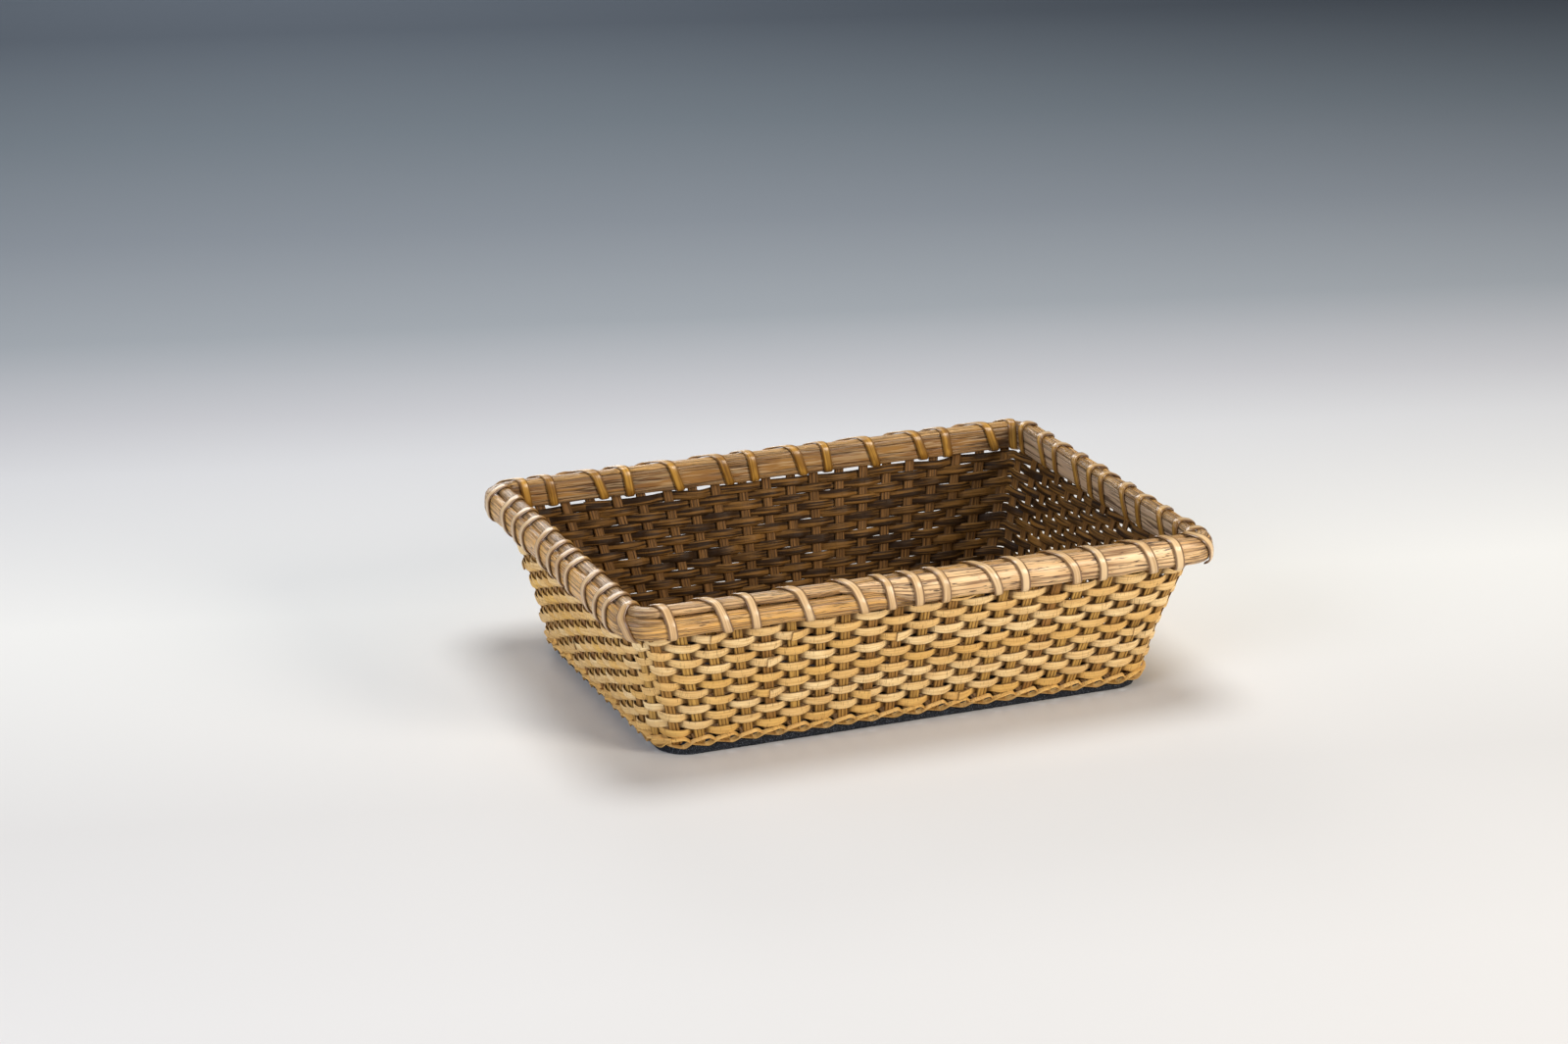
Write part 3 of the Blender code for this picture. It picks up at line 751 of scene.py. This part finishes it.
innerBand = {
    "seed": 43,
    "around": 22,
    "power": 5.0,
    "keys": ((0.0, -2.6, 1.5, 71.6, 5.5), (11.0, -2.7, 1.5, 72.1, 6.0),
             (30.0, -2.7, 1.5, 72.1, 6.0), (47.0, -2.7, 1.5, 72.0, 5.9),
             (60.0, -2.6, 1.5, 71.6, 5.5)),
}
rimColours = {
    "golden": "#e6ae59",
    "pale": "#f3cc98",
    "mottle": "#bb8347",
    "grain": "#663b12",
    # painted highlight streaks
    "streak": "#ffe3b2",
    "dash": "#43260c",
    "worn": "#47280f",
    "band": "#b3854a",
    "bandBrown": "#94683a",
    # painted grey sheen, on the right wall
    "bandSheen": "#dcc0a0",
    "bandGrain": "#38200b",
    "bandStreak": "#d9ba8a",
}


def caneEnds(cane):
    # a cane with no torn end goes all the way round
    keys = cane["keys"]
    return (keys[0][0], keys[-1][0]) if "ragged" in cane else (0, stakesAll)


def caneSection(cane, number):
    # the section's points, outward and up, at each place round the rim
    keys = np.array(cane["keys"])
    wrap = None if "ragged" in cane else stakesAll
    offset, wide, level, tall = (np.interp(number, keys[:, 0], values, period=wrap)[:, None]
                                 for values in keys[:, 1:].T)
    across, up = ovalRing(cane["around"], cane["power"])
    # lumps and hollows, a little different all along
    rough = 0
    for wave in range(1, 5):
        phase = np.arange(cane["around"]) / cane["around"] * 2 * pi * wave
        seed = cane["seed"] + wave
        rough = rough + wobble(number, seed, 1.2, 0.035)[:, None] * np.cos(phase)
        rough = rough + wobble(number, seed + 9, 0.9, 0.030)[:, None] * np.sin(phase)
    offset = offset + wide * across * (1 + rough)
    level = level + tall * up * (1 + rough)
    if "face" in cane:
        offset = np.where(level < cane["faceTop"], np.maximum(offset, cane["face"]), offset)
    return offset, level


def canePart(cane, tone):
    isOpen = "ragged" in cane
    start, end = caneEnds(cane)
    number = np.arange(start, end, 0.125)
    offset, level = caneSection(cane, number)
    spread = np.repeat(number[:, None], cane["around"], 1)
    # dark broken fibres at the corners, and at the end of an open one
    worn = cane.get("worn", 0.0) * (0.3 + 0.7 * onShortWall(number))
    wear = np.maximum(nearCorner(number, 0.55), worn)
    if isOpen:
        torn = np.random.default_rng(cane["seed"]).uniform(-1, 1, cane["around"]) * cane["ragged"]
        fromEnd = end - number
        spread = spread + torn * ease(1 - fromEnd[:, None] / 1.5)
        wear = np.maximum(wear, ease(1 - fromEnd / 1.2))
    rings = outlinePoint(wall["head"], spread, offset)[0]
    rings[..., 2] = level
    turn = np.arange(cane["around"]) / cane["around"] * 2 * pi
    girth = 1.1 * (cane["keys"][0][2] + cane["keys"][0][4])
    marks = {"tone": tone(number)[:, None], "wear": wear[:, None]}
    return stripPart(rings, runLength(rings.mean(1)) + cane["seed"] * 77.0, np.cos(turn) * girth,
                     np.sin(turn) * girth + cane["seed"] * 5.0, marks, not isOpen)


def makeRim(poleMaterial, bandMaterial):
    # each cane's tone, from 0 to 1, by its place round the rim
    flatPole = canePart(outerCane, lambda number: 0 * number)
    roundPole = canePart(bigPole, lambda number: 0.85 - 0.5 * ease((number - 8.5) / 3.0))
    strand = canePart(topCane, lambda number: 0.35 + wobble(number, 29, 5.0, 0.3))
    # the band's tone is the share of its painted grey sheen, on the right wall
    band = canePart(innerBand, lambda number: ease((number - 9.5) / 2) * ease((26.5 - number) / 2))
    makePiece("outer_rim_pole", [flatPole, roundPole], poleMaterial, "outer_rim_cane")
    makePiece("top_rim_strand", [strand], poleMaterial, "top_rim_cane")
    makePiece("inner_rim_band", [band], bandMaterial, "inner_rim_cane")
    print("rim canes: 3 pieces")


def lacqueredCanePole():
    # thick cane under old lacquer: long brown grain with short dark dashes, painted
    # pale highlight streaks where the skin shines, and dark broken fibres at its corners and ends
    material, tree, place, tone, wear = startMaterial("lacqueredCanePole", "strip tone wear")
    grain = grainMask(tree, place, (0.018, 1.1, 1.1), 3.0, 0.49, 0.60)
    # the fine mask lays the painted highlight streaks
    fine = grainMask(tree, place, (0.05, 1.9, 1.9), 2.0, 0.48, 0.62)
    dashes = grainMask(tree, place, (0.11, 1.3, 1.3), 2.0, 0.60, 0.66)
    mottle = grainMask(tree, place, (0.03, 0.12, 0.12), 2.0, 0.38, 0.62)
    fibres = grainMask(tree, place, (0.10, 1.7, 1.7), 3.0, 0.40, 0.60)
    worn = addNode(tree, "Math", {"operation": "MULTIPLY"}, {0: wear, 1: fibres})
    colour = layerColours(
        tree, rimColours, "golden", (tone, 1.0, "pale"), (mottle, 0.40, "mottle"),
        (grain, 0.75, "grain"), (fine, 0.25, "streak"), (dashes, 0.90, "dash"),
        (worn, 0.85, "worn"))
    finishSurface(tree, colour, (grain, 0.40, 0.56),
                  ((grain, -0.00022), (fine, 0.00010), (dashes, -0.00014), (worn, -0.00022)),
                  {"Coat Weight": 0.3, "Coat Roughness": 0.28})
    return material


def fibrousCaneBand():
    # flat split cane inside the rim: coarse fibres, browned, with a painted grey sheen
    # on the right; the lacquer has worn to a little gloss
    material, tree, place, tone, wear = startMaterial("fibrousCaneBand", "strip tone wear")
    grain = grainMask(tree, place, (0.018, 1.2, 1.2), 3.0, 0.47, 0.59)
    fine = grainMask(tree, place, (0.05, 1.9, 1.9), 2.0, 0.48, 0.62)
    mottle = grainMask(tree, place, (0.04, 0.12, 0.12), 2.0, 0.38, 0.62)
    colour = layerColours(
        tree, rimColours, "band", (mottle, 0.8, "bandBrown"), (tone, 0.7, "bandSheen"),
        (grain, 0.82, "bandGrain"), (fine, 0.50, "bandStreak"), (wear, 0.45, "worn"))
    finishSurface(tree, colour, (grain, 0.36, 0.50), ((grain, -0.00016), (fine, 0.00006)),
                  {"Coat Weight": 0.25, "Coat Roughness": 0.25})
    return material


# Lashing: one flat peel wound round the rim, in a run for each wall
lashing = {
    "width": 4.6,
    "thickness": 1.0,
    "lift": 0.30,  # off the canes
    "step": 1.5,  # from section to section
    "outPeel": "#ebcd9e",
    "outTan": "#cfa46b",
    "sideTan": "#b98a50",  # painted shade on the left wall's strips
    "outLine": "#9c6b30",
    "inAmber": "#cf9c45",
    "inDark": "#94651f",
    "inLine": "#5a360e",
    # painted shade along the strips' edges
    "edge": "#5b3511",
}
# Each run: its first place, the shares of a turn's advance made up the inner face and
# over the top, and how many spacings each turn goes on
lashRuns = {
    "front": (-10.5, (0.55, 0.27), (1, 2, 1, 2, 2, 1, 1, 1, 2, 1, 2, 1, 2, 1, 1)),
    "right": (10.5, (0.30, 0.40), (1, 1, 2, 1, 2, 1, 1, 2, 1, 2, 1)),
    "back": (25.5, (0.20, 0.36), (1, 2, 1, 2, 2, 1, 2, 1, 2, 2, 1, 2, 1, 1)),
    "left": (46.5, (0.45, 0.30), (1, 2, 1, 1, 2, 1, 1, 1, 2, 1, 1, 1)),
}


def rimSections(number):
    # all the canes' points together, at each place round the rim
    place = number % stakesAll
    start, end = caneEnds(outerCane)
    outer = np.clip(np.where(place < start, place + stakesAll, place), start, end)
    near = (number + 10) % stakesAll - 10
    start, end = caneEnds(bigPole)
    onPole = ((near > start) & (near < end))[:, None]
    offset, level = caneSection(bigPole, np.clip(near, start, end))
    # past the pole's ends its points hide among the others
    pole = np.where(onPole, offset, bigPole["face"]), np.where(onPole, level, 72.0)
    sets = (caneSection(topCane, number), caneSection(innerBand, number),
            caneSection(outerCane, outer), pole)
    return np.stack([np.concatenate(values, 1) for values in zip(*sets)], -1)


def lashTurn(start, end, shares):
    # one turn: in under the rim, up the inside, over the top and down outside
    angles = np.radians(np.linspace(270, -90, 73)[:-1])
    look = np.stack([np.cos(angles), np.sin(angles)], -1)
    number = np.full(angles.shape, (start + end) / 2)
    inside, top = shares[0], sum(shares)
    for _ in range(3):
        sections = rimSections(number)
        best = np.einsum("skc,sc->sk", sections, look).argmax(1)
        spot = sections[np.arange(len(best)), best]
        spot = spot + look * (lashing["lift"] + lashing["thickness"] / 2)
        run = runLength(spot)
        # where each part of the way round the section ends
        bends = np.interp(np.radians([235.0, 135.0, 40.0, 0.0, -60.0]), angles[::-1], run[::-1])
        share = np.interp(run, bends, [0.0, inside, top, top + 0.6 * (1 - top), 1.0])
        number = start + (end - start) * share
    return number, spot, angles


def makeLashing(wallName, material):
    start, shares, steps = lashRuns[wallName]
    turns = []
    for turn, step in enumerate(steps):
        number, spot, angles = lashTurn(start, start + step, shares)
        turns.append((number, spot, angles - 2 * pi * turn))
        start += step
    numbers, spots, looks = (np.concatenate(values) for values in zip(*turns))
    centre = outlinePoint(wall["head"], numbers, spots[:, 0])[0]
    centre[:, 2] = spots[:, 1]
    run = runLength(centre)
    even = np.linspace(0, run[-1], int(run[-1] / lashing["step"]))
    centre = np.stack([np.interp(even, run, centre[:, axis]) for axis in range(3)], -1)
    number = np.interp(even, run, numbers)
    look = np.interp(even, run, looks)
    for _ in range(2):
        centre[1:-1] = (centre[:-2] + 2 * centre[1:-1] + centre[2:]) / 4
        look[1:-1] = (look[:-2] + 2 * look[1:-1] + look[2:]) / 4
    outward = outlinePoint(wall["head"], number)[2]
    normal = outward * np.cos(look)[:, None] + straightUp * np.sin(look)[:, None]
    ahead, normal = frameAlong(centre, normal)
    wide = np.cross(normal, ahead)
    across, _ = ovalRing(14, 3.2)
    _, deep = ovalRing(14, 2.0)
    width = lashing["width"] * (1 + wobble(number * 3, 71, 1.0, 0.06))
    rings = sweep(centre, wide, normal, width[:, None] / 2 * across,
                  lashing["thickness"] / 2 * deep)
    marks = {"tone": 0.5 + wobble(number * 2, 77, 1.0, 0.5)[:, None],
             "inner": ease(0.42 - 1.1 * np.cos(look))[:, None],
             # painted shade: the left wall's strips are darker
             "handled": 1.0 if wallName == "left" else 0.0,
             # painted shade along the edges, a third as strong on the back
             "soiled": 0.3 if wallName == "back" else 1.0}
    part = stripPart(rings, even + start * 50.0, across * 2.4, deep * 0.5 + start, marks)
    makePiece(wallName + "_lashing_peel", [part], material, wallName + "_lashing")


def caneLashingPeel():
    # the skin split off the cane, hard and smooth: pale outside, amber and glossier
    # inside, with painted shade along both edges, on the outer face weaker on the back
    material, tree, place, tone, inner, handled, soiled = startMaterial(
        "caneLashingPeel", "strip tone inner handled soiled")
    lines = grainMask(tree, place, (0.03, 1.3, 1.3), 2.0, 0.42, 0.64)
    mottle = grainMask(tree, place, (0.08, 0.2, 0.2), 2.0, 0.38, 0.62)
    # painted shade along both edges, a third as strong outside on the back
    edge = edgeMask(tree, place, 1.15, 1.90)
    edgeShade = addNode(tree, "Math", {"operation": "MULTIPLY"}, {0: edge, 1: soiled})
    # the left wall's strips are painted darker, a painted shade on that side
    outer = layerColours(
        tree, lashing, "outPeel", (tone, 0.7, "outTan"), (handled, 0.25, "sideTan"),
        (lines, 0.42, "outLine"), (edgeShade, 0.82, "edge"))
    amber = layerColours(tree, lashing, "inAmber", (mottle, 0.8, "inDark"),
                         (lines, 0.45, "inLine"), (edge, 0.65, "inLine"))
    colour = layerColours(tree, lashing, outer, (inner, 1.0, amber))
    finishSurface(tree, colour, (mottle, 0.32, 0.44), ((lines, -0.00005),),
                  {"Coat Weight": 0.35, "Coat Roughness": 0.18})
    return material


pad = {
    "outline": {"halfX": 122.2, "halfY": 81.3, "radius": 15.0},
    "thickness": 4.4,
    "edge": 0.7,
    "rough": 0.25,
    "askew": 0.5,  # degrees that it was stuck on crooked
    "shift": (0.4, -0.5, 0.0),
    "dark": "#1a1c20",
    "grey": "#363a42",
    "speck": "#747b86",
}


def makePad(material):
    # a flat slab: a profile carried round the outline, between two caps
    number = np.arange(0, stakesAll, 0.1)
    turn = np.sin(np.radians(np.linspace(-90, 90, 9)))
    half = pad["thickness"] / 2
    inset = np.concatenate([[-4.0], pad["edge"] * (np.sqrt(1 - turn ** 2) - 1), [-4.0]])
    level = half + np.sign(turn) * np.abs(turn) ** 0.6 * (half - 0.02)
    level = np.concatenate([level[:1], level, level[-1:]])
    rough = np.stack([wobble(number, 200 + place, 0.12, pad["rough"])
                      for place in range(len(inset))], -1)
    rough[:, [0, -1]] = 0
    outline, _, outward = outlinePoint(pad["outline"], number)
    rings = outline[:, None] + outward[:, None] * (inset + rough)[..., None]
    askew = radians(pad["askew"])
    rings = rings @ np.array([[cos(askew), sin(askew), 0],
                              [-sin(askew), cos(askew), 0], [0, 0, 1]])
    rings = rings + pad["shift"]
    rings[..., 2] = level
    index = np.arange(rings[..., 0].size).reshape(rings.shape[:2])
    there = np.roll(index, -1, axis=0)
    quads = np.stack([index[:, :-1], there[:, :-1], there[:, 1:], index[:, 1:]], -1)
    faces = quads.reshape(-1, 4).tolist() + [index[:, 0].tolist(), index[::-1, -1].tolist()]
    points = rings.reshape(-1, 3)
    placePiece(makeMesh("base_pad_felt", points, faces, {"strip": points}), material,
               "base_pad")
    print("pad")


def pressedWoolFelt():
    # pressed wool felt: dark, with no gloss, and paler fibres worked into it. The
    # real fibres are too fine to show, and are drawn half a millimetre wide
    material, tree, place = startMaterial("pressedWoolFelt", "strip")
    fibres = grainMask(tree, place, (1.6, 1.6, 1.6), 3.0, 0.35, 0.65)
    specks = grainMask(tree, place, (1.9, 1.9, 1.9), 1.0, 0.60, 0.68)
    colour = layerColours(tree, pad, "dark", (fibres, 1.0, "grey"), (specks, 0.7, "speck"))
    finishSurface(tree, colour, (fibres, 0.90, 1.00), ((fibres, 0.0004),),
                  {"Specular IOR Level": 0.2})
    return material


reedMaterial = wovenRattanCore()
makeWeavers(reedMaterial)
makeFootWeaver(reedMaterial)
makeStakes(brownedRattanStake())
makeRim(lacqueredCanePole(), fibrousCaneBand())
peelMaterial = caneLashingPeel()
for wallName in lashRuns:
    makeLashing(wallName, peelMaterial)
print("lashing:", len(lashRuns), "runs")
makePad(pressedWoolFelt())

studio = {
    "floorHalf": 6.0,
    "floorLevel": -0.0002,
    "viewTurn": 13.0,  # degrees from the back that the floor darkens towards
    # metres past the basket, and the floor's colour there: a painted fall-off of light, pale
    # near the basket and darker further back, with a painted shadow in front of it at -0.15 m
    "paintedFalloff": ((-0.35, "#e0dfdd"), (-0.15, "#dad9d7"), (0.11, "#eaeae7"), (0.36, "#d5d6d8"),
               (0.46, "#c3c4c8"), (0.64, "#9fa5ab"), (0.90, "#888f97"), (1.22, "#717a82"),
               (1.63, "#535a63")),
    "worldColour": "#ffffff",
    "worldStrength": 0.13,
    # place, size in metres, power in watts and colour; all look at the basket
    "lamps": (("keyLamp", (1.1, -1.7, 0.8), 0.9, 31.8, "#fff4e6"),
              ("fillLamp", (-1.7, -0.9, 0.8), 1.2, 19.5, "#e9efff"),
              ("topLamp", (0.1, 0.2, 1.8), 1.0, 20.0, "#ffffff"),
              ("rearLamp", (0.25, 2.1, 0.8), 1.0, 12.0, "#ffffff"),
              ("rearLeftLamp", (-1.4, 1.7, 0.7), 1.0, 4.0, "#eef2ff")),
    "lens": 86.9,
    "cameraPlace": (-0.6728, -1.5810, 0.6457),
    "cameraAim": (0.05616, 0.2117, 0.0),
}


def makeFloor():
    half, level = studio["floorHalf"], studio["floorLevel"]
    mesh = bpy.data.meshes.new("studioFloor")
    corners = [(x * half, y * half, level) for x, y in ((-1, -1), (1, -1), (1, 1), (-1, 1))]
    mesh.from_pydata(corners, [], [(0, 1, 2, 3)])
    material, tree = startMaterial("paintedStudioFloor")
    place = addNode(tree, "TexCoord", {}).outputs["Object"]
    turn = radians(studio["viewTurn"])
    away = addNode(tree, "VectorMath",
                   {"operation": "DOT_PRODUCT", 1: (sin(turn), cos(turn), 0)}, {0: place})
    paintedFalloff = studio["paintedFalloff"]
    first, last = paintedFalloff[0][0], paintedFalloff[-1][0]
    share = addNode(tree, "MapRange", {"From Min": first, "From Max": last},
                    {"Value": away.outputs["Value"]})
    ramp = addNode(tree, "ValToRGB", {}, {0: share})
    stops = ramp.color_ramp.elements
    for number, (far, code) in enumerate(paintedFalloff):
        stop = stops[number] if number < 2 else stops.new(1.0)
        stop.position = (far - first) / (last - first)
        stop.color = hexColour(code)
    shader = addNode(tree, "BsdfPrincipled", {"Roughness": 1.0, "Specular IOR Level": 0.0},
                     {"Base Color": ramp})
    addNode(tree, "OutputMaterial", {}, {"Surface": shader})
    mesh.materials.append(material)
    addObject(mesh)


def addLooking(data, place, aim):
    holder = addObject(data)
    holder.location = place
    holder.rotation_euler = (Vector(place) - Vector(aim)).to_track_quat("Z", "Y").to_euler()
    return holder


def makeLamps():
    for name, place, size, power, colour in studio["lamps"]:
        lamp = bpy.data.lights.new(name, "AREA")
        lamp.shape = "DISK"
        lamp.color = hexColour(colour)[:3]
        lamp.size = size
        lamp.energy = power
        addLooking(lamp, place, (0, 0, 0))
    world = bpy.data.worlds.new("studioWorld")
    bpy.context.scene.world = world
    world.use_nodes = True
    back = world.node_tree.nodes["Background"]
    back.inputs["Color"].default_value = hexColour(studio["worldColour"])
    back.inputs["Strength"].default_value = studio["worldStrength"]


def makeCamera():
    lens = bpy.data.cameras.new("photoCamera")
    lens.lens = studio["lens"]
    bpy.context.scene.camera = addLooking(lens, studio["cameraPlace"], studio["cameraAim"])


makeFloor()
makeLamps()
makeCamera()
bpy.context.scene.view_settings.view_transform = "Standard"
print("studio, lamps and camera")
